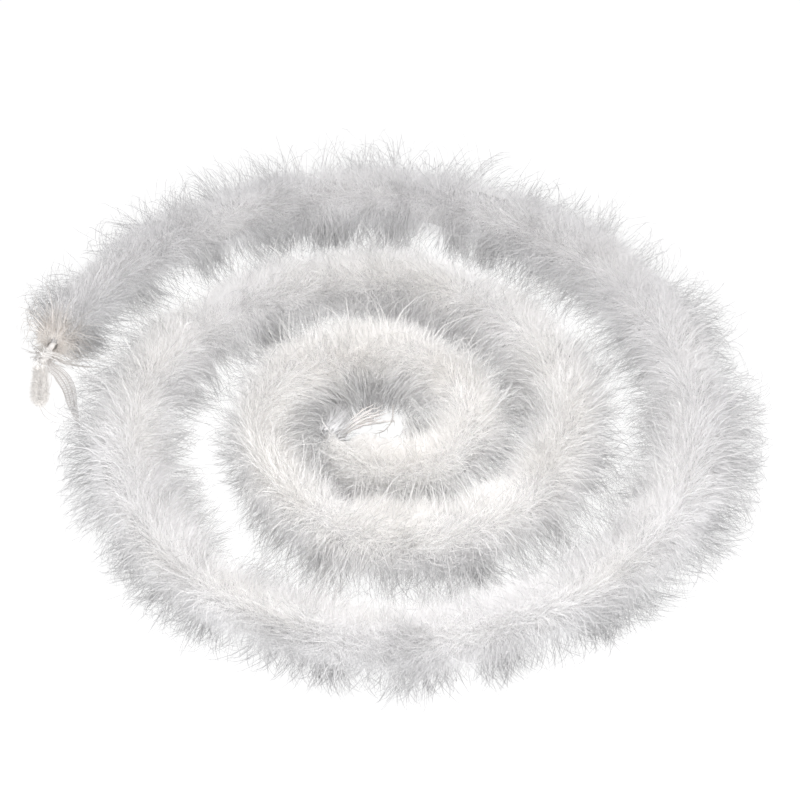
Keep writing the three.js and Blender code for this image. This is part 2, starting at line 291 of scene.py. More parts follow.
def coil_radius(eighth):
    """The radius between the eighths of a turn (Catmull-Rom)."""
    i = np.minimum(np.floor(eighth), LAST_EIGHTH - 1).astype(int)
    f = eighth - i
    a, b, c, d = (COIL_RADII[np.clip(i + k, 0, LAST_EIGHTH)] for k in (-1, 0, 1, 2))
    cubic = 3 * b - a - 3 * c + d
    square = 2 * a - 5 * b + 4 * c - d
    return b + 0.5 * f * (c - a + f * (square + f * cubic))


eighths = np.arange(LAST_EIGHTH * SAMPLES_PER_EIGHTH + 1) / SAMPLES_PER_EIGHTH
coil_angle = np.radians(COIL_START_DEG + COIL_STEP_DEG * eighths)
coil_r = coil_radius(eighths)
coil_points = np.stack(
    [coil_r * np.cos(coil_angle), coil_r * np.sin(coil_angle), np.full_like(coil_r, CORE_HEIGHT)], 1
)
coil_s = np.concatenate([[0], np.cumsum(np.linalg.norm(np.diff(coil_points, axis=0), axis=1))])
COIL_LENGTH = coil_s[-1]


def along_coil(s):
    return np.stack([np.interp(s, coil_s, coil_points[:, k]) for k in range(3)], -1)


outer_heading = unit(along_coil(0.0) - along_coil(HEADING_SPAN))
inner_heading = unit(along_coil(COIL_LENGTH) - along_coil(COIL_LENGTH - HEADING_SPAN / 2))
inner_turn = np.cross(inner_heading, UP)


def route(s):
    """Points from the coil's centre, at s millimetres along the cord from where the down starts."""
    s = np.asarray(s, float)
    p = along_coil(s)
    before = np.minimum(s, 0)
    past = np.maximum(s - COIL_LENGTH, 0)
    angle = past / INNER_TAIL_BEND
    p = p + outer_heading * -before[..., None]
    p = p + inner_heading * (INNER_TAIL_BEND * np.sin(angle))[..., None]
    p = p + inner_turn * (INNER_TAIL_BEND * (1 - np.cos(angle)))[..., None]
    p[..., 2] -= OUTER_TAIL_DROP * before**2 + INNER_TAIL_DROP * past**2
    return p


FRAME_STEP = 0.5
FRAME_PAST = 20
frame_s = np.arange(-OUTER_TAIL_LENGTH - FRAME_PAST, COIL_LENGTH + FRAME_PAST, FRAME_STEP)
frame_point = route(frame_s) + COIL_CENTRE
frame_ahead = unit(route(frame_s + FRAME_STEP) - route(frame_s - FRAME_STEP))
frame_side = unit(np.cross(frame_ahead, UP))
frame_above = np.cross(frame_side, frame_ahead)
frame_table = np.concatenate([frame_point, frame_side, frame_above, frame_ahead], 1)


def frame_at(s):
    """The cord's point, side, above and ahead at s, for any array of s."""
    s = np.asarray(s, float)
    table = np.stack([np.interp(s, frame_s, column) for column in frame_table.T], -1)
    return table[..., 0:3], table[..., 3:6], table[..., 6:9], table[..., 9:12]


def place(x, y, s):
    """Points x to the cord's side and y above it, at s along it."""
    point, side, above, _ = frame_at(s)
    return point + side * x[..., None] + above * y[..., None]


# ---- Where the sleeves and joints lie -------------------------------------------------------

# Each run of sleeves: its body, how many there are and the share of the coil that each takes
SLEEVE_RUNS = [
    ("outer_d", 2, 60), ("outer_c", 2, 60), ("outer_b", 2, 60), ("outer_a", 2, 60),
    ("coil", 5, 88), ("coil", 6, 80), ("coil", 5, 66), ("inner_tip", 1, 50),
]
sleeve_body = [body for body, count, _ in SLEEVE_RUNS for _ in range(count)]
sleeve_lengths = np.array([length for _, count, length in SLEEVE_RUNS for _ in range(count)], float)
sleeve_ends = np.concatenate([[0], np.cumsum(sleeve_lengths)]) * COIL_LENGTH / sleeve_lengths.sum()
SLEEVES = len(sleeve_body)
joints = [
    (sleeve_ends[k], sleeve_body[k - 1], sleeve_body[k])
    for k in range(1, SLEEVES)
    if sleeve_body[k] != sleeve_body[k - 1]
]
BLEND_REACH = 34.0
JOINT_NEAR = 1


def settle(obj, from_s, to_s, body):
    """obj keeps its place, baked into its mesh, where a joint lies at or between from_s and to_s,
    or else rides on body.
    """
    for s, before, after in joints:
        if from_s - JOINT_NEAR <= s <= to_s + JOINT_NEAR:
            start, end = route([s - BLEND_REACH, s + BLEND_REACH]) + COIL_CENTRE
            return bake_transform(obj)
    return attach(obj, body)


# ---- Tubes, cords and threads ---------------------------------------------------------------


def transport(points):
    """Two directions across a line at each of its points, turning as little as they can."""
    ahead = unit(np.gradient(points, axis=0))
    across = np.cross(ahead[0], UP)
    if np.linalg.norm(across) < 0.1:
        across = np.cross(ahead[0], [1.0, 0.0, 0.0])
    rows = []
    for direction in ahead:
        across = unit(across - direction * np.dot(across, direction))
        rows.append(across)
    across = np.array(rows)
    return across, np.cross(ahead, across)


def closed_faces(rings, sides):
    """Faces of a tube of rings of vertices, closed by the two vertices that follow them."""
    faces = []
    for i in range(rings - 1):
        a, b = i * sides, (i + 1) * sides
        for j in range(sides):
            k = (j + 1) % sides
            faces.append((a + j, a + k, b + k, b + j))
    first, last, end = rings * sides, rings * sides + 1, (rings - 1) * sides
    for j in range(sides):
        k = (j + 1) % sides
        faces.append((first, k, j))
        faces.append((last, end + j, end + k))
    return faces


def tube(points, radius, sides=8, lobes=0, pitch=6.0, depth=0.0):
    """Vertices and faces of a closed tube along points. With lobes it has that many twisted plies,
    which go round once in pitch and lie depth of the radius deep."""
    points = np.asarray(points, float)
    n = len(points)
    radius = np.broadcast_to(np.asarray(radius, float), (n,))
    run = np.concatenate([[0], np.cumsum(np.linalg.norm(np.diff(points, axis=0), axis=1))])
    one, two = transport(points)
    angle = 2 * np.pi * np.arange(sides) / sides
    twist = 2 * np.pi * run[:, None] / pitch
    swell = np.ones((n, sides))
    if lobes:
        swell = 1 - depth * (1 - np.abs(np.cos(lobes / 2 * (angle[None] - twist))) ** 0.8)
    r = radius[:, None] * swell
    rings = (
        points[:, None]
        + one[:, None] * (r * np.cos(angle))[..., None]
        + two[:, None] * (r * np.sin(angle))[..., None]
    )
    verts = np.concatenate([rings.reshape(-1, 3), points[:1], points[-1:]])
    return verts, closed_faces(n, sides)


def mesh_object(name, parts, material):
    """One object from the vertices and faces of several parts, in millimetres."""
    verts, faces, count = [], [], 0
    for part_verts, part_faces in parts:
        verts.append(part_verts)
        faces.extend(tuple(count + i for i in face) for face in part_faces)
        count += len(part_verts)
    mesh = bpy.data.meshes.new(name)
    mesh.from_pydata((np.concatenate(verts) * MM).tolist(), [], faces)
    mesh.polygons.foreach_set("use_smooth", np.ones(len(mesh.polygons), bool))
    mesh.materials.append(material)
    mesh.update()
    return link(bpy.data.objects.new(name, mesh))


def smooth_line(knots, step):
    """A smooth line through knots (Catmull-Rom), with a point about every step."""
    knots = np.asarray(knots, float)
    padded = np.concatenate([[2 * knots[0] - knots[1]], knots, [2 * knots[-1] - knots[-2]]])
    out = []
    for i in range(len(knots) - 1):
        a, b, c, d = padded[i:i + 4]
        count = max(2, int(np.linalg.norm(c - b) / step))
        f = (np.arange(count) / count)[:, None]
        out.append(0.5 * (2 * b + (c - a) * f + (2 * a - 5 * b + 4 * c - d) * f**2
                          + (3 * b - a - 3 * c + d) * f**3))
    return np.concatenate([*out, knots[-1:]])


# ---- The core cord --------------------------------------------------------------------------

CORE_RADIUS = 1.6
CORE_PITCH = 11.0
CORE_STEP = 1.4
PLY_DEPTH = 0.2
GAP = 0.3
inner_end = COIL_LENGTH + INNER_TAIL_LENGTH
core_pieces = [
    ("core_cord_d", -OUTER_TAIL_LENGTH, sleeve_ends[1], "outer_d", ["core_cord_outer_d"]),
    ("core_cord_dc", sleeve_ends[1], sleeve_ends[3], "outer_d", ["core_cord_outer_c"]),
    ("core_cord_cb", sleeve_ends[3], sleeve_ends[5], "outer_c", ["core_cord_outer_b"]),
    ("core_cord_ba", sleeve_ends[5], sleeve_ends[7], "outer_b", ["core_cord_outer_a"]),
    ("core_cord_ac", sleeve_ends[7], sleeve_ends[9], "outer_a", []),
    ("core_cord_middle", sleeve_ends[9], sleeve_ends[23], "coil", ["core_cord_coil"]),
    ("core_cord_tip", sleeve_ends[23], inner_end, "coil", ["core_cord_inner"]),
]
for name, from_s, to_s, body, nodes in core_pieces:
    stations = np.linspace(from_s, to_s, int((to_s - from_s) / CORE_STEP))
    line = route(stations) + COIL_CENTRE
    piece = mesh_object(
        name, [tube(line, CORE_RADIUS, 15, 3, CORE_PITCH, PLY_DEPTH)], cord_look
    )
    settle(piece, from_s, to_s, body)
    if nodes:
        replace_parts(piece, *nodes)

# The folded cord loop on the whipped outer end
LOOP_BEND_RADIUS = 1.9
LOOP_LEG_LENGTH = 16.0
LOOP_SLOPE = math.radians(32)
LOOP_TURN = math.radians(2)
LOOP_CLEARANCE = 0.42
LOOP_HALF = 1.5
LOOP_FOOT = 0.75
LOOP_RADIUS = 1.62
LOOP_PITCH = 7.5

tail_point, _, _, tail_ahead = frame_at(-OUTER_TAIL_LENGTH)
loop_hinge = tail_point - tail_ahead * (LOOP_BEND_RADIUS + CORE_RADIUS + LOOP_CLEARANCE)
loop_turned = np.array(Matrix.Rotation(LOOP_TURN, 3, "Z") @ Matrix.Rotation(LOOP_SLOPE, 3, "X"))


def from_loop(x, y, z=0.0):
    """A point given in the loop's own plane, x across its legs and y along them."""
    return loop_hinge + loop_turned @ np.array([x, y, z])


def leg_half(y):
    """Half the way between the two legs, wider at the loop's foot."""
    f = min(1.0, max(0.0, -y / LOOP_LEG_LENGTH))
    return LOOP_HALF + LOOP_FOOT * f * f * (3 - 2 * f)


bend = [
    ((LOOP_HALF + LOOP_FOOT) * math.cos(a), -LOOP_LEG_LENGTH + LOOP_BEND_RADIUS * math.sin(a))
    for a in np.linspace(math.pi, 2 * math.pi, 19)[1:-1]
]
leg = np.linspace(0.9, -LOOP_LEG_LENGTH, 48)
loop_flat = (
    [(-0.5, 2.2), (-1.2, 1.6)]
    + [(-leg_half(y) - 0.18 * math.sin(0.42 * y), y) for y in leg]
    + bend
    + [(leg_half(y) + 0.14 * math.sin(0.5 * y), y) for y in leg[::-1]]
    + [(1.2, 1.6), (0.5, 2.2)]
)
loop_line = np.array([from_loop(x, y, 0.25 * math.sin(y * 0.45)) for x, y in loop_flat])
loop_tube = tube(loop_line, LOOP_RADIUS, 30, 3, LOOP_PITCH, PLY_DEPTH)
loop_cord = mesh_object("end_loop_cord", [loop_tube], cord_look)
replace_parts(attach(loop_cord, "loop"), "end_loop")

# ---- Down -----------------------------------------------------------------------------------

DOWN_RADIUS_OUTER = 21.5
DOWN_RADIUS_INNER = 20.0
DOWN_WIDENING = 1.2
PUFF_SPACING = 34.0
PUFF_JITTER = 4.0
PLUMES_ROUND = 13
STRANDS = 520000
WISPS = 58000
STRAND_POINTS = 4
WISP_POINTS = 6
STRAND_WIDTH = 0.15
WISP_WIDTH = 0.42
TINT_COLUMNS = 48
OUTER_TAPER = 75.0
INNER_TAPER = 42.0
LATERAL_LIMIT = 41.3
# How far the down reaches on the coil's outer side, at every half of an eighth of a turn from its
# start, and on its inner side, at the eighths given
OUTWARD_REACH = np.array([
    0.80, 0.86, 1.02, 1.12, 1.18, 1.08, 1.12, 1.30, 1.24, 0.76, 0.52, 0.72, 0.50, 0.70, 0.80, 1.45,
    1.1, 0.86, 1.0, 1.0, 1.0, 1.0, 1.0, 1.0, 1.0, 1.0, 1.0, 1.0, 0.92, 0.80,
    0.60, 0.74, 0.9, 1.0,
])
REACH_EIGHTHS = np.arange(len(OUTWARD_REACH)) / 2
INWARD_REACH = (
    (0, 0.5, 0.95, 1.3, 15.4, 15.9, 17.8, 18.4), (0.66, 0.70, 0.76, 1.0, 1.0, 1.35, 1.35, 1.0)
)
TOP_LIMIT = 31.5
FLOOR_CLEAR = 0.3
FLOOR_SPREAD = 0.7
OUTLINE_KNEE, OUTLINE_GIVE = 0.8, 0.2
BEND_ROOM, BEND_KNEE, BEND_GIVE = 0.8, 0.7, 0.3
LATERAL_KNEE = 0.8

# Puffs of down with slanting creases between them, and slow waves over them
END_PUFF = 8.0
puff_s = [END_PUFF]
while puff_s[-1] < COIL_LENGTH - END_PUFF:
    puff_s.append(puff_s[-1] + PUFF_SPACING + rng.uniform(-PUFF_JITTER, PUFF_JITTER))
puff_s = np.array(puff_s[:-1] + [COIL_LENGTH - END_PUFF])
crease_s = (puff_s[1:] + puff_s[:-1]) / 2
crease_slant = rng.uniform(-5, 5, len(crease_s))
crease_turn = rng.uniform(0, 2 * np.pi, len(crease_s))
crease_depth = rng.uniform(0.05, 0.17, len(crease_s))
CREASE_WIDTH = 5.5
WAVES = 6
wave_turns = rng.integers(-2, 3, WAVES)
wave_length = rng.uniform(70, 240, WAVES)
wave_phase = rng.uniform(0, 2 * np.pi, WAVES)


def patches(s, angle):
    """A slow wander from about -1 to 1 over the boa's surface."""
    total = np.zeros(np.broadcast(s, angle).shape)
    for turns, length, phase in zip(wave_turns, wave_length, wave_phase):
        total = total + np.sin(2 * np.pi * s / length + turns * angle + phase)
    return total / 3


def down_radius(s, angle):
    """How far the dense down stands from the cord at an angle round it: a wide oval of puffs with
    creases between them, tapered at both ends."""
    base = DOWN_RADIUS_OUTER + (DOWN_RADIUS_INNER - DOWN_RADIUS_OUTER) * s / COIL_LENGTH
    base = base / np.hypot(np.cos(angle) / DOWN_WIDENING, np.sin(angle))
    k = np.clip(np.searchsorted(crease_s, s), 0, len(crease_s) - 1)
    dip = np.zeros(np.broadcast(s, angle).shape)
    for near in (-1, 0):
        j = np.clip(k + near, 0, len(crease_s) - 1)
        away = s - crease_s[j] - crease_slant[j] * np.sin(angle + crease_turn[j])
        dip = np.maximum(dip, crease_depth[j] * np.exp(-((away / CREASE_WIDTH) ** 2)))
    head = np.clip((s + 14) / OUTER_TAPER, 0.1, 1)
    tail = np.clip((COIL_LENGTH + 6 - s) / INNER_TAPER, 0.08, 1)
    return base * (1 - dip) * (1 + 0.06 * patches(s * 2.3, angle)) * np.sqrt(head * tail)


def eased(value, edge, give):
    """value, or past edge something that nears edge + give and never gets there."""
    return np.where(value > edge, edge + give * np.tanh((value - edge) / give), value)


def settle_points(x, y, s, limit, clearance, lateral, stretch):
    """Keeps points inside the down's outline, the lateral limit and the bend, and on the floor.
    stretch is how much of the coil's outward reach the points take up where it is more than 1."""
    rho = np.hypot(x, y)
    over = np.maximum(rho / limit, 1e-6)
    kept = eased(over, OUTLINE_KNEE, OUTLINE_GIVE)
    x, y = x * kept / over, y * kept / over
    eighth = np.interp(s, coil_s, eighths)
    reach = np.interp(eighth, REACH_EIGHTHS, OUTWARD_REACH)
    reach = np.where(reach > 1, 1 + stretch * (reach - 1), reach)
    x = x * np.where(x < 0, reach, np.interp(eighth, *INWARD_REACH))
    low = -CORE_HEIGHT + clearance
    x = x + np.sign(x) * FLOOR_SPREAD * np.maximum(low - y, 0)
    y = np.maximum(y, low)
    room = BEND_ROOM * np.interp(s, coil_s, coil_r)
    x = eased(x, room * BEND_KNEE, room * BEND_GIVE)
    edge = LATERAL_KNEE * lateral
    x = np.sign(x) * eased(np.abs(x), edge, lateral - edge)
    return x, np.minimum(y, TOP_LIMIT)


def arcs(start, first, last, length, count):
    """Lines that set off from start along first and end up heading along last, in (x, y, s)."""
    t = np.linspace(0, 1, count)[None, :, None]
    bent = t * first[:, None] + t * t / 2 * (last - first)[:, None]
    return start[:, None] + length[:, None, None] * bent


def strand_object(name, points, normals, width, tint_and_painted_shade, look):
    """One mesh of tapering ribbons, one along each line of points, with flat sides to normals."""
    n, k, _ = points.shape
    across = unit(np.cross(np.gradient(points, axis=1), normals)) * width[..., None] / 2
    pairs = np.stack([points - across, points + across], 2)[:, :-1].reshape(n, 2 * (k - 1), 3)
    verts = np.concatenate([pairs, points[:, -1:]], 1)
    per = 2 * k - 1
    pattern = []
    for j in range(k - 2):
        pattern += [2 * j, 2 * j + 1, 2 * j + 3, 2 * j + 2]
    pattern = np.array(pattern + [2 * k - 4, 2 * k - 3, 2 * k - 2])
    strand = np.arange(n)[:, None]
    corners = (pattern + per * strand).ravel()
    starts = (4 * np.arange(k - 1) + len(pattern) * strand).ravel()
    column = (np.clip(np.floor(tint_and_painted_shade * TINT_COLUMNS), 0, TINT_COLUMNS - 1) + 0.5) / TINT_COLUMNS
    along = np.concatenate([np.repeat(np.arange(k - 1), 2), [k - 1]]) / (k - 1)
    beside = np.concatenate([np.tile([-0.3, 0.3], k - 1), [0]]) / TINT_COLUMNS
    up_map = np.broadcast_to(0.01 + 0.98 * along[pattern], (n, len(pattern)))
    uv = np.stack([column[:, None] + beside[pattern], up_map], -1)
    mesh = bpy.data.meshes.new(name)
    mesh.vertices.add(n * per)
    mesh.vertices.foreach_set("co", (verts * MM).astype(np.float32).ravel())
    mesh.loops.add(len(corners))
    mesh.loops.foreach_set("vertex_index", corners.astype(np.int32))
    mesh.polygons.add(len(starts))
    mesh.polygons.foreach_set("loop_start", starts.astype(np.int32))
    mesh.polygons.foreach_set("use_smooth", np.ones(len(starts), bool))
    mesh.update(calc_edges=True)
    mesh.uv_layers.new(name=STRAND_MAP).data.foreach_set("uv", uv.astype(np.float32).ravel())
    mesh.materials.append(look)
    return link(bpy.data.objects.new(name, mesh))


# Plumes: where each is bound to the cord, which way it leans and how its barbs fan
PLUME_STRAY_ALONG, PLUME_STRAY_ROUND = 17, 0.4
PLUME_LEAN_ALONG, PLUME_LEAN_ROUND = 0.55, 0.6
CLUMPS = 7
plume_s = np.repeat(puff_s, PLUMES_ROUND)
plumes = len(plume_s)
plume_s = plume_s + rng.uniform(-PLUME_STRAY_ALONG, PLUME_STRAY_ALONG, plumes)
plume_place = np.tile(np.arange(PLUMES_ROUND), len(puff_s))
plume_place = plume_place + rng.uniform(-PLUME_STRAY_ROUND, PLUME_STRAY_ROUND, plumes)
plume_angle = plume_place * 2 * np.pi / PLUMES_ROUND
plume_lean_s = rng.normal(0, PLUME_LEAN_ALONG, plumes)
plume_lean_round = rng.normal(0, PLUME_LEAN_ROUND, plumes)
plume_plane = rng.uniform(0, np.pi, plumes)
plume_length = rng.uniform(0.85, 1.15, plumes)
plume_tint = rng.normal(0, 0.05, plumes)
clumps = rng.normal(size=(plumes, CLUMPS, 3))


def axes(angle):
    """Outward, round and along directions in (x, y, s) at an angle round the cord."""
    zero, one = np.zeros_like(angle), np.ones_like(angle)
    out = np.stack([np.cos(angle), np.sin(angle), zero], -1)
    about = np.stack([-np.sin(angle), np.cos(angle), zero], -1)
    return out, about, np.stack([zero, zero, one], -1)


# The tint column low down and high up on the boa, painted shade below and at the sides and painted
# light along the top; what it gains along it, whiter and warmer inwards, partly real tint and
# partly painted light falling off on the outer turns; and the outer end's beige
PAINTED_SHADE_HEIGHTS, PAINTED_SHADE_COLUMN = (-0.5, 0.8), (0.10, 0.48)
TINT_AND_PAINTED_FALLOFF_ALONG, TINT_PATCHES, TINT_SPREAD = 0.42, 0.07, 0.05
BEIGE_COLUMN, BEIGE_REACH = 0.97, (1, 18)
# How far the strands of a plume start from each other, along the cord in millimetres and round it,
# and how far from the cord's middle
ROOT_ALONG, ROOT_ROUND, ROOT_DEPTH = 10.0, 0.42, (4, 9)
FAN, FAN_LIMIT = 0.6, 1.2
FIRST_STRAY, LAST_STRAY, LAST_STRAY_LOOSE = 0.18, 0.06, 0.38


def tint_and_painted_shade_at(s, angle, count, extra):
    """The tint column of each strand: painted shade, greyer low down and at the sides; painted
    light, whiter along the top; and whiter inwards, partly painted light.
    """
    column = np.interp(np.sin(angle), PAINTED_SHADE_HEIGHTS, PAINTED_SHADE_COLUMN) + TINT_AND_PAINTED_FALLOFF_ALONG * s / COIL_LENGTH
    column = column + TINT_PATCHES * patches(s, angle) + extra
    column = np.clip(column + rng.normal(0, TINT_SPREAD, count), 0.02, 0.9)
    return np.where(s < rng.uniform(*BEIGE_REACH, count), BEIGE_COLUMN, column)


def grow(chosen, length, outward, spread, droop, points, looseness):
    """Strands of the chosen plumes, before they are settled: points in (x, y, s), and each one's
    angle. outward is how far their tips keep pointing away from the cord, and looseness is how far
    each one strays from the rest of its clump."""
    count = len(chosen)
    clump = clumps[chosen, rng.integers(0, CLUMPS, count)] * math.sqrt(max(0, 1 - looseness**2))
    along_by, round_by, fan = (clump + looseness * rng.normal(size=(count, 3))).T
    s0 = plume_s[chosen] + ROOT_ALONG * along_by
    s0 = np.where(s0 < 1, 2 - s0, s0)
    s0 = np.where(s0 > COIL_LENGTH - 1, 2 * COIL_LENGTH - 2 - s0, s0)
    angle = plume_angle[chosen] + ROOT_ROUND * round_by
    out, about, along = axes(angle)
    root = out * rng.uniform(*ROOT_DEPTH, count)[:, None]
    root[:, 2] = s0
    fan = np.clip(FAN * fan, -FAN_LIMIT, FAN_LIMIT)
    round_lean = plume_lean_round[chosen] + fan * spread * np.cos(plume_plane[chosen])
    long_lean = plume_lean_s[chosen] + fan * spread * np.sin(plume_plane[chosen])
    first = unit(out + FIRST_STRAY * rng.normal(size=(count, 3)))
    last = out * outward + about * round_lean[:, None] + along * long_lean[:, None]
    last = last + (LAST_STRAY + LAST_STRAY_LOOSE * looseness) * rng.normal(size=(count, 3))
    last[:, 1] -= droop
    return arcs(root, first, unit(last), length * plume_length[chosen], points), angle


WHIPPING_BARE_S, WHIPPING_BARE_RADIUS, WHIPPING_STRAYS = -3.5, 7.5, 0.22


def outside_whipping(x, y, s):
    """True for each strand that leaves the whipped outer end bare, and for a few that don't."""
    over = ((s < WHIPPING_BARE_S) & (np.hypot(x, y) < WHIPPING_BARE_RADIUS)).any(axis=-1)
    return ~over | (rng.uniform(size=len(over)) < WHIPPING_STRAYS)


def settled(x, y, s, radial, noise):
    """Settled strands in the frame: their points, the way their flat sides face, partly away from
    the cord and partly anywhere, and whether each leaves the whipping bare."""
    bare = outside_whipping(x, y, s)
    points = place(x, y, s)
    points[..., 2] = np.maximum(points[..., 2], FLOOR_CLEAR)
    _, side, above, _ = frame_at(s)
    turned = np.arctan2(y, x)[..., None]
    normals = side * np.cos(turned) + above * np.sin(turned)
    return points, radial * normals + noise * rng.normal(size=(len(x), 1, 3)), bare


def tapering(width, low, high, count, tip, points):
    """Widths that differ by low to high between strands and narrow to tip of that at their ends."""
    return width * rng.uniform(low, high, count)[:, None] * np.linspace(1, tip, points)


def swayed(lines):
    """Wisps with a bend of their own, which grows towards their tips."""
    t = np.linspace(0, 1, WISP_POINTS)
    way = rng.normal(size=(len(lines), 1, 3))
    amount = 0.9 * np.sin(np.pi * t * rng.uniform(1, 2.2, (len(lines), 1)))
    return lines + way * amount[..., None] * t[None, :, None]


# Barbs that make the dense down
UNDERSIDE, UNDERSIDE_SHARE = -0.6, 0.35
chosen = rng.integers(0, plumes, STRANDS)
under = np.sin(plume_angle[chosen]) < UNDERSIDE
chosen = chosen[~under | (rng.uniform(size=STRANDS) < UNDERSIDE_SHARE)]
count = len(chosen)
barbs, barb_angle = grow(chosen, rng.uniform(12, 23, count), 0.95, 0.7, 0.12, STRAND_POINTS, 1.0)
tips = 1 + np.clip(rng.normal(0, 0.12, count), -0.35, 0.22)
x, y, s = barbs[..., 0], barbs[..., 1], barbs[..., 2]
limit = down_radius(s, np.arctan2(y, x)) * tips[:, None]
lateral = LATERAL_LIMIT * rng.uniform(0.72, 0.96, count)[:, None]
x, y = settle_points(x, y, s, limit, rng.uniform(0.3, 2.0, count)[:, None], lateral, 0.15)
barb_points, barb_normals, barb_bare = settled(x, y, s, 0.6, 0.4)
barb_width = tapering(STRAND_WIDTH, 0.7, 1.3, count, 0.45, STRAND_POINTS)
barb_root = barbs[:, 0, 2]
barb_tint_and_painted_shade = tint_and_painted_shade_at(barb_root, barb_angle, count, plume_tint[chosen])

# Longer wisps that stand out of it and lie on the floor
WISP_HEIGHTS, WISP_SHARES = (0.3, 0.85), (1.0, 0.12)
chosen = rng.integers(0, plumes, WISPS)
height = np.sin(plume_angle[chosen])
chosen = chosen[rng.uniform(size=WISPS) < np.interp(height, WISP_HEIGHTS, WISP_SHARES)]
count = len(chosen)
wisps, wisp_angle = grow(
    chosen, rng.triangular(18, 30, 48, count), 0.75, 0.55, 0.2, WISP_POINTS, 0.35
)
wisps = swayed(wisps)
x, y, s = wisps[..., 0], wisps[..., 1], wisps[..., 2]
limit = rng.triangular(29, 38, 60, count)[:, None]
limit = limit * np.clip(down_radius(s, np.pi / 2) / 18, 0.4, 1)
lateral = LATERAL_LIMIT * rng.triangular(0.78, 1.0, 1.0, count)[:, None]
x, y = settle_points(x, y, s, limit, rng.uniform(0.4, 4.0, count)[:, None], lateral, 1.0)
wisp_points, wisp_normals, wisp_bare = settled(x, y, s, 0.3, 0.6)
wisp_width = tapering(WISP_WIDTH, 0.7, 1.25, count, 0.4, WISP_POINTS)
wisp_root = wisps[:, 0, 2]
wisp_tint_and_painted_shade = tint_and_painted_shade_at(wisp_root, wisp_angle, count, 0.0)

# Longer ones yet, that lie in over the coil's middle from its inmost turn
MIDDLE_WISPS = 1100
MIDDLE_EIGHTHS = (15.5, 18.2)
count = MIDDLE_WISPS
middle_root = np.stack([
    rng.uniform(5, 12, count), rng.uniform(-7, 5, count),
    np.interp(rng.uniform(*MIDDLE_EIGHTHS, count), eighths, coil_s),
], 1)
middle_first = unit(np.array([1.0, 0.15, 0.0]) + 0.22 * rng.normal(size=(count, 3)))
middle_last = unit(np.array([1.0, -0.45, 0.0]) + 0.30 * rng.normal(size=(count, 3)))
middle = arcs(middle_root, middle_first, middle_last, rng.uniform(20, 38, count), WISP_POINTS)
middle = swayed(middle)
x, y, s = middle[..., 0], middle[..., 1], middle[..., 2]
y = np.maximum(y, rng.uniform(0.4, 5.0, count)[:, None] - CORE_HEIGHT)
middle_points = place(x, y, s)
wisp_points = np.concatenate([wisp_points, middle_points])
wisp_normals = np.concatenate([wisp_normals, np.broadcast_to(
    0.2 * UP + 0.6 * rng.normal(size=(count, 1, 3)), middle_points.shape
)])
middle_width = tapering(0.8 * WISP_WIDTH, 0.7, 1.2, count, 0.4, WISP_POINTS)
wisp_width = np.concatenate([wisp_width, middle_width])
wisp_root = np.concatenate([wisp_root, middle_root[:, 2]])
# The middle wisps take only low, grey columns: painted shade
wisp_tint_and_painted_shade = np.concatenate([wisp_tint_and_painted_shade, rng.uniform(0.02, 0.3, count)])
wisp_bare = np.concatenate([wisp_bare, np.ones(count, bool)])

# The down is parted over the frayed plies, along the line of sight that shows them
PARTING = np.array([(-15.0, -24.5), (3.0, -9.5)])
PARTING_HEIGHT = 15.0
PARTING_HALF = 4.6
PARTING_SLOPE = math.tan(math.pi / 2 - CAMERA_ELEVATION)
# And over the hollow beside them, down to the floor
OPENING = np.array([7.6, -4.6])
OPENING_HALF = np.array([7.8, 6.8])


def outside_opening(points):
    """True for each strand that doesn't stand between the camera and the hollow's floor."""
    flat = points[..., :2].copy()
    flat[..., 1] += points[..., 2] * PARTING_SLOPE
    return (np.hypot(*np.moveaxis((flat - OPENING) / OPENING_HALF, -1, 0)) > 1).all(axis=-1)


def outside_parting(points):
    """True for each strand that keeps clear of the parting and the opening."""
    flat = points[..., :2].copy()
    flat[..., 1] += (points[..., 2] - PARTING_HEIGHT) * PARTING_SLOPE
    line = PARTING[1] - PARTING[0]
    f = np.clip((flat - PARTING[0]) @ line / (line @ line), 0, 1)
    away = np.linalg.norm(flat - PARTING[0] - f[..., None] * line, axis=-1)
    inside = (away < PARTING_HALF) & (points[..., 2] > PARTING_HEIGHT - 2)
    return ~inside.any(axis=-1) & outside_opening(points)


barb_clear = outside_parting(barb_points) & barb_bare
wisp_clear = outside_parting(wisp_points) & wisp_bare

# The matted down under the barbs: a lumpy closed tube, dark grey as painted shade for the depth of
# the down
MAT_SIDES = 36
MAT_STEP = 2.2
MAT_SHARE = 0.52
MAT_POINT = 18.0
MAT_GAP = 0.01


def matted_down(from_s, to_s):
    """Vertices and faces of the mat from from_s to to_s along the cord."""
    rings = max(8, int((to_s - from_s) / MAT_STEP))
    s = np.linspace(from_s + MAT_GAP, to_s - MAT_GAP, rings)[:, None]
    angle = (2 * np.pi * np.arange(MAT_SIDES) / MAT_SIDES)[None]
    r = down_radius(s, angle) * MAT_SHARE
    r = r * np.sqrt(np.clip(np.minimum(s, COIL_LENGTH - s) / MAT_POINT, 0.06, 1))
    r = r * (1 + 0.05 * np.sin(7 * angle + s * 0.21) * np.sin(s * 0.47 + 3 * angle))
    x, y = r * np.cos(angle), r * np.sin(angle)
    s = s + 0 * x
    x, y = settle_points(x, y, s, 2 * r + 5, 0.5, LATERAL_LIMIT, 0.4)
    ends = route([from_s + MAT_GAP, to_s - MAT_GAP]) + COIL_CENTRE
    verts = np.concatenate([place(x, y, s).reshape(-1, 3), ends])
    return verts, closed_faces(rings, MAT_SIDES)


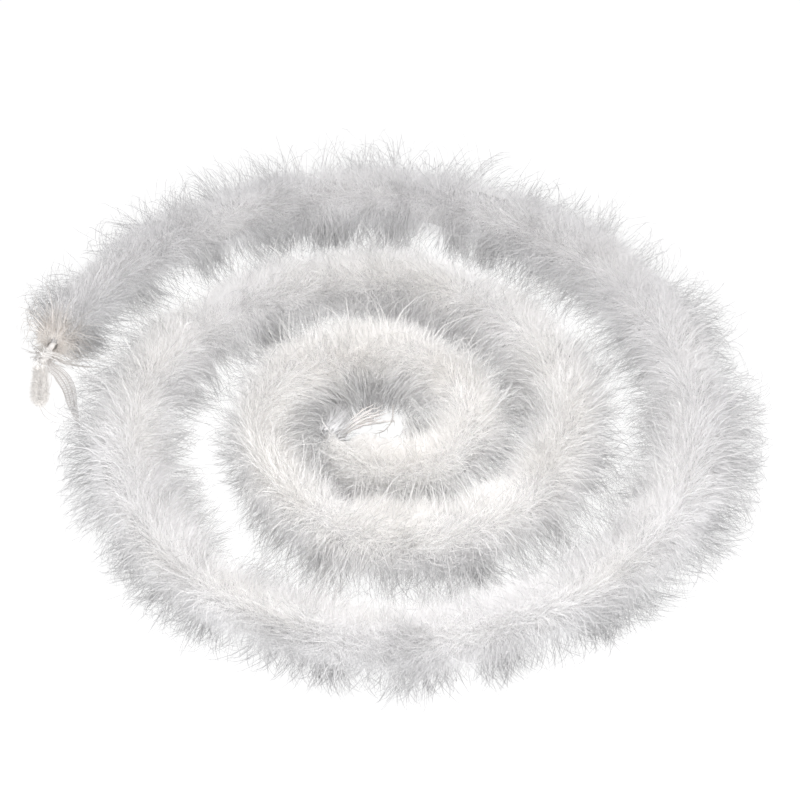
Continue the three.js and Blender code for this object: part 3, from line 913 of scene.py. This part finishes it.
for k in range(SLEEVES):
    from_s, to_s = sleeve_ends[k], sleeve_ends[k + 1]
    number = f"{k + 1:02d}"
    mat = mesh_object(f"down_mat_painted_shade_{number}", [matted_down(from_s, to_s)], painted_shade_down_look)
    mine = (barb_root >= from_s) & (barb_root < to_s) & barb_clear
    coat = strand_object(
        f"down_barbs_{number}", barb_points[mine], barb_normals[mine], barb_width[mine],
        barb_tint_and_painted_shade[mine], barb_look,
    )
    mine = (wisp_root >= from_s) & (wisp_root < to_s) & wisp_clear
    fringe = strand_object(
        f"down_wisps_{number}", wisp_points[mine], wisp_normals[mine], wisp_width[mine],
        wisp_tint_and_painted_shade[mine], wisp_look,
    )
    for piece in (mat, coat, fringe):
        settle(piece, from_s, to_s, sleeve_body[k])
        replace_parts(piece, f"down_sleeve_{number}")

# Cotton fuzz that stands off the folded cord
FUZZ_STRANDS = 9000
FUZZ_POINTS = 4
FUZZ_WIDTH = 0.16
FUZZ_ROOT = 1.45
fuzz_at = rng.integers(2, len(loop_line) - 2, FUZZ_STRANDS)
fuzz_ahead = unit(loop_line[fuzz_at + 1] - loop_line[fuzz_at - 1])
fuzz_out = rng.normal(size=(FUZZ_STRANDS, 3))
fuzz_out = unit(fuzz_out - fuzz_ahead * (fuzz_out * fuzz_ahead).sum(axis=1, keepdims=True))
fuzz_first = unit(fuzz_out * 0.5 + fuzz_ahead * rng.normal(0, 1, (FUZZ_STRANDS, 1)))
fuzz_last = unit(fuzz_out + 0.7 * rng.normal(size=(FUZZ_STRANDS, 3)))
fuzz_points = arcs(
    loop_line[fuzz_at] + FUZZ_ROOT * fuzz_out, fuzz_first, fuzz_last,
    rng.triangular(0.8, 1.6, 5.0, FUZZ_STRANDS), FUZZ_POINTS,
)
fuzz_points[..., 2] = np.maximum(fuzz_points[..., 2], FLOOR_CLEAR)
fuzz_normals = np.broadcast_to(fuzz_out[:, None], fuzz_points.shape)
fuzz_width = np.broadcast_to(FUZZ_WIDTH * np.linspace(1, 0.5, FUZZ_POINTS), fuzz_points.shape[:2])
piece = strand_object(
    "end_loop_fuzz", fuzz_points, fuzz_normals, fuzz_width, rng.uniform(0, 1, FUZZ_STRANDS),
    fuzz_look,
)
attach(piece, "loop")

# ---- The whipped outer end ------------------------------------------------------------------

THREAD_RADIUS = 0.36
WHIPPING_RADIUS = 2.8
OUTER_WHIPPING = (-OUTER_TAIL_LENGTH + GAP, 8.0)
INNER_WHIPPING = (inner_end - 4.0 - GAP, 4.0)


def whipping(from_s, length, start_angle):
    """Thread wound close round the cord in two layers, the upper one crossing at a slant."""
    parts = []
    for radius, pitch, slant in ((2.05, 0.7, 0.0), (WHIPPING_RADIUS - THREAD_RADIUS, 0.95, 0.5)):
        turns = length / pitch
        a = np.linspace(0, 2 * np.pi * turns, int(turns * 22))
        s = from_s + THREAD_RADIUS + (length - 2 * THREAD_RADIUS) * a / a[-1]
        s = s + slant * np.sin(a / 2 + start_angle) * 0.6
        s = np.clip(s, from_s, from_s + length)
        angle = a + start_angle
        line = place(radius * np.cos(angle), radius * np.sin(angle), s)
        parts.append(tube(line, THREAD_RADIUS, 6))
    core = np.linspace(from_s + 0.1, from_s + length - 0.1, 8)
    parts.append(tube(route(core) + COIL_CENTRE, 2.1, 14))
    return parts


for name, (from_s, length), body in (
    ("outer_whipping", OUTER_WHIPPING, "outer_d"), ("inner_whipping", INNER_WHIPPING, "inner_tip"),
):
    piece = mesh_object(name + "_thread", whipping(from_s, length, 0.7), thread_look)
    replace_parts(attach(piece, body), name)

# The knot that ties the whipping off, with its cut ends and the turns that run on over the tape
KNOT_PLACE = OUTER_WHIPPING[0] + 0.35 * OUTER_WHIPPING[1]
KNOT_HEIGHT = 4.5
THREAD_CLEAR = 0.4
knot_point, knot_side, knot_above, knot_ahead = frame_at(KNOT_PLACE)
knot_centre = knot_point + knot_above * KNOT_HEIGHT
a = np.linspace(0, 2 * np.pi, 120)
knot_curve = np.stack([
    (0.85 + 0.5 * np.cos(3 * a)) * np.cos(2 * a),
    (0.85 + 0.5 * np.cos(3 * a)) * np.sin(2 * a),
    0.6 * np.sin(3 * a),
], 1)
knot_axes = np.stack([knot_side, knot_ahead, knot_above])
knot_parts = [tube(knot_centre + knot_curve @ knot_axes, 0.42, 8)]


def offset(dx, dy, dz):
    """A point by its place from the knot."""
    return knot_centre + np.array([dx, dy, dz])


KNOT_THREADS = [
    [(0, 0, 0.6), (0.9, 1.8, 2.2), (0.4, 3.6, 2.9), (-0.6, 5.2, 2.6)],
    [(0, 0, 0.4), (-1.6, 0.6, 1.8), (-3.6, 1.6, 1.9), (-5.0, 0.9, 0.6)],
    [(0.5, 0.2, 0.2), (3.5, 0.9, 0.6), (7.5, 0.7, -0.6), (11.5, 1.1, -3.2)],
    [(0.5, 0, 0), (3.5, -0.2, 0.1), (7.5, -0.4, -1.2), (10.8, -0.2, -3.9)],
    [(0.4, -0.3, -0.3), (3.2, -1.2, -0.5), (6.6, -1.8, -2.0), (9.8, -1.9, -4.9)],
    [(0.3, 0.5, 0.1), (2.8, 1.9, 0.1), (6.2, 2.6, -1.0), (10.2, 3.0, -3.3)],
    [(-0.6, -0.2, -0.4), (-2.6, -1.0, -1.6), (-3.1, -1.8, -4.2), (-2.2, -2.4, -6.6)],
    [(-0.6, 0.3, -0.4), (-2.5, 0.3, -1.3), (-3.3, -0.3, -3.9), (-2.4, -0.8, -6.6)],
]
for knots in KNOT_THREADS:
    line = smooth_line([offset(*p) for p in knots], 0.5)
    knot_parts.append(tube(line, np.linspace(0.30, 0.2, len(line)), 6))
SMALL_LOOPS = [
    [(-2.6, -1.2, -2.6), (-4.6, -2.2, -3.6), (-5.4, -4.2, -5.0), (-4.4, -5.6, -6.2),
     (-3.0, -4.6, -5.4)],
    [(1.0, -2.2, -2.4), (3.6, -5.4, -5.4), (5.0, -10.2, -8.6), (4.2, -14.6, -11.2),
     (2.6, -13.6, -10.8), (2.6, -9.0, -7.6), (1.6, -4.2, -4.2)],
]
for knots in SMALL_LOOPS:
    line = smooth_line([offset(*p) for p in knots], 0.5)
    knot_parts.append(tube(line, 0.2, 6))
piece = mesh_object("outer_knot_thread", knot_parts, thread_look)
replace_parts(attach(piece, "outer_d"), "outer_knot")

# Two loose threads that trail from the end of the loop onto the floor
loose_parts = []
for knots in (
    [(0.6, -18.4, 0.8), (2.4, -21.5, 0.0), (6.2, -25.0, 1.8), (11.0, -28.0, 4.8)],
    [(-0.4, -18.8, 0.4), (0.9, -22.5, 1.2), (4.2, -27.6, 4.6), (10.2, -31.5, 7.8)],
):
    line = smooth_line([from_loop(*p) for p in knots], 0.6)
    line[:, 2] = np.maximum(line[:, 2], THREAD_CLEAR)
    loose_parts.append(tube(line, np.linspace(0.26, 0.14, len(line)), 6))
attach(mesh_object("end_loop_threads", loose_parts, thread_look), "loop")

# The netting tape: long threads that draw together, with a zigzag worked between them
NET_ROUTE = [
    (-184, 48, 13), (-179.5, 45, 11), (-175.5, 40, 8.5), (-173, 34, 6), (-171, 27, 4),
    (-168, 19, 3),
]
NET_WIDTH = 7.0
NET_THREADS = 13
NET_STITCHES = 26
NET_WAVE, NET_WAVES = 0.35, 3
NET_RUN, NET_SHARE = [0, 0.12, 0.35, 0.65, 1], [0.6, 1.0, 1.45, 1.0, 0.42]
net_line = smooth_line([offset(2.4, -1.8, -3.4), *(np.array(NET_ROUTE) + COIL_CENTRE)], 0.5)
net_across, net_through = transport(net_line)
net_run = np.linspace(0, 1, len(net_line))
net_half = NET_WIDTH / 2 * np.interp(net_run, NET_RUN, NET_SHARE)
net_parts = []
for k in range(NET_THREADS):
    f = -1 + 2 * k / (NET_THREADS - 1)
    fold = NET_WAVE * np.cos(math.pi * NET_WAVES * f) + 0.15 * np.sin(net_run * 21 + k)
    line = net_line + net_across * (net_half * f)[:, None] + net_through * fold[:, None]
    stray = int(rng.uniform(0, 5))
    run_on = smooth_line([
        line[-1], line[-1] + (1.0 + f, -3.2, -0.4), line[-1] + (2.6 + 1.6 * f, -6.4 - stray, -1.0),
    ], 0.6)
    line = np.concatenate([line, run_on[1:]])
    line[:, 2] = np.maximum(line[:, 2], THREAD_CLEAR)
    thick = 0.3 if abs(f) > 0.9 else 0.2
    net_parts.append(tube(line, np.linspace(thick, 0.12, len(line)), 6))
for direction in (-1, 1):
    for start in np.linspace(0, 0.96, NET_STITCHES):
        f = np.linspace(-1, 1, 9)
        where = np.clip(start + direction * f * 0.035 + 0.02, 0, 1) * (len(net_line) - 1)
        i = where.astype(int)
        line = net_line[i] + net_across[i] * (net_half[i] * f)[:, None] \
            + net_through[i] * (NET_WAVE * np.cos(math.pi * NET_WAVES * f))[:, None]
        line[:, 2] = np.maximum(line[:, 2], THREAD_CLEAR)
        net_parts.append(tube(line, 0.13, 5))
piece = mesh_object("net_tail_tape", net_parts, net_look)
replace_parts(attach(piece, "outer_d"), "net_tail")

# The bare quill, tapering to its tip, with the stubs of a few barbs
QUILL_ROUTE = [(-183.5, 53, 15), (-174, 50, 14), (-166, 49, 13), (-158, 50, 11.5)]


def quill_parts(line, thick, thin, stubs):
    """A shaft that tapers from thick to thin along line, with stubs of barbs on both sides."""
    across, through = transport(line)
    parts = [tube(line, np.linspace(thick, thin, len(line)), 10)]
    for k, i in enumerate(np.linspace(len(line) * 0.35, len(line) - 2, stubs).astype(int)):
        hand = 1 if k % 2 else -1
        out = across[i] * hand + through[i] * 0.35
        ahead = unit(line[i + 1] - line[i])
        stub = smooth_line([
            line[i], line[i] + out * 1.6 + ahead * 1.2, line[i] + out * 2.4 + ahead * 3.6,
        ], 0.5)
        parts.append(tube(stub, np.linspace(0.16, 0.06, len(stub)), 5))
    return parts


quill_line = smooth_line(np.array(QUILL_ROUTE) + COIL_CENTRE, 0.5)
piece = mesh_object("bare_quill_shaft", quill_parts(quill_line, 0.72, 0.3, 10), quill_look)
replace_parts(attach(piece, "outer_d"), "bare_quill")

# The thin curved quill across the hollow
CROSS_ROUTE = [(10.3, -8, 20), (9.7, -13.4, 14), (6, -18.9, 12), (0.7, -23.6, 14)]
cross_parts = quill_parts(smooth_line(CROSS_ROUTE, 0.4), 0.42, 0.22, 6)
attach(mesh_object("cross_quill_shaft", cross_parts, quill_look), "inner_tip")

# ---- The fanned plies of the inner end ------------------------------------------------------

PLY_SPACING = 1.35
PLY_COUNT_ROUND = 6
PLY_LENGTH = 28.0
PLY_FAN = 4.2
PLY_RISE = 7.0
PLY_SAG = 10.0
PLY_HAIRS = 4
ply_point, ply_side, ply_above, ply_ahead = frame_at(inner_end + GAP)


def ply_line(side, above):
    """The way one ply runs: on from the cord's end, spreading, and first up and then down."""
    f = np.linspace(0, 1, 90)[:, None]
    spread = 1 + PLY_FAN * f**1.4
    line = ply_point + ply_ahead * PLY_LENGTH * f + ply_side * side * spread
    line = line + ply_above * above * (1 + 0.5 * PLY_FAN * f)
    line[:, 2] += (PLY_RISE * f - PLY_SAG * f * f)[:, 0]
    return line


ply_offsets = [(0.0, 0.0)] + [
    (PLY_SPACING * math.cos(2 * math.pi * k / PLY_COUNT_ROUND),
     PLY_SPACING * math.sin(2 * math.pi * k / PLY_COUNT_ROUND))
    for k in range(PLY_COUNT_ROUND)
]
PLY_YARNS = [(0.0, 0.0, 0.38), (1.05, 0.5, 0.3), (-1.05, 0.3, 0.3)]
for k, (side, above) in enumerate(ply_offsets):
    parts = []
    for beside, over, thick in PLY_YARNS:
        line = ply_line(side, above + over)
        f = np.linspace(0, 1, len(line))
        wave = rng.uniform(0, 2 * np.pi, 2)
        across = beside * (0.8 + 1.0 * f) + 0.42 * f * np.sin(f * 26 + wave[0])
        line = line + ply_side * across[:, None]
        line = line + ply_above * (0.40 * f * np.sin(f * 21 + wave[1]))[:, None]
        reach = len(line) - int(rng.uniform(0, 18))
        parts.append(tube(line[:reach], thick, 10, 2, 2.4, 0.3))
        tip = line[reach - 1]
        for _ in range(PLY_HAIRS):
            stray = tip + ply_ahead * rng.uniform(2, 5) + rng.normal(0, 0.9, 3)
            hair = smooth_line([line[reach - 4], tip, stray], 0.5)
            parts.append(tube(hair, np.linspace(0.14, 0.05, len(hair)), 5))
    name = f"inner_ply_{k + 1}"
    piece = mesh_object(name + "_yarn", parts, ply_look)
    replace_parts(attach(piece, "inner_tip"), name)

# Down that lies on past the end of the feathers, round the plies
TUFT_STRANDS = 1300
TUFT_DROOP = [0.35, 0.3, 0]
TUFT_LOW, TUFT_HIGH = 0.5, CORE_HEIGHT + 9
TUFT_STRAYS = 0.3
out, about, along = axes(rng.uniform(0, 2 * np.pi, TUFT_STRANDS))
tuft_root = out * rng.uniform(2, 8, TUFT_STRANDS)[:, None]
tuft_root[:, 2] = COIL_LENGTH - rng.uniform(0, 5, TUFT_STRANDS)
tuft_first = unit(out * 0.5 + along + 0.25 * rng.normal(size=(TUFT_STRANDS, 3)))
tuft_last = out * 0.5 + along * 0.8 + 0.5 * rng.normal(size=(TUFT_STRANDS, 3))
tuft_last = unit(tuft_last - TUFT_DROOP)
tuft = arcs(tuft_root, tuft_first, tuft_last, rng.uniform(7, 26, TUFT_STRANDS), WISP_POINTS)
tuft_points = ply_point + ply_side * tuft[..., :1] + ply_above * tuft[..., 1:2] \
    + ply_ahead * (tuft[..., 2:] - inner_end - GAP)
tuft_points[..., 2] = np.clip(tuft_points[..., 2], TUFT_LOW, TUFT_HIGH)
keep = outside_parting(tuft_points) | (rng.uniform(size=TUFT_STRANDS) < TUFT_STRAYS)
tuft_normals = np.broadcast_to(
    0.2 * UP + 0.6 * rng.normal(size=(TUFT_STRANDS, 1, 3)), tuft_points.shape
)
tuft_width = tapering(WISP_WIDTH, 0.5, 0.9, TUFT_STRANDS, 0.3, WISP_POINTS)
# The tuft takes low, grey columns: painted shade
piece = strand_object(
    "inner_end_tuft", tuft_points[keep], tuft_normals[keep], tuft_width[keep],
    rng.uniform(0.05, 0.45, keep.sum()), wisp_look,
)
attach(piece, "inner_tip")
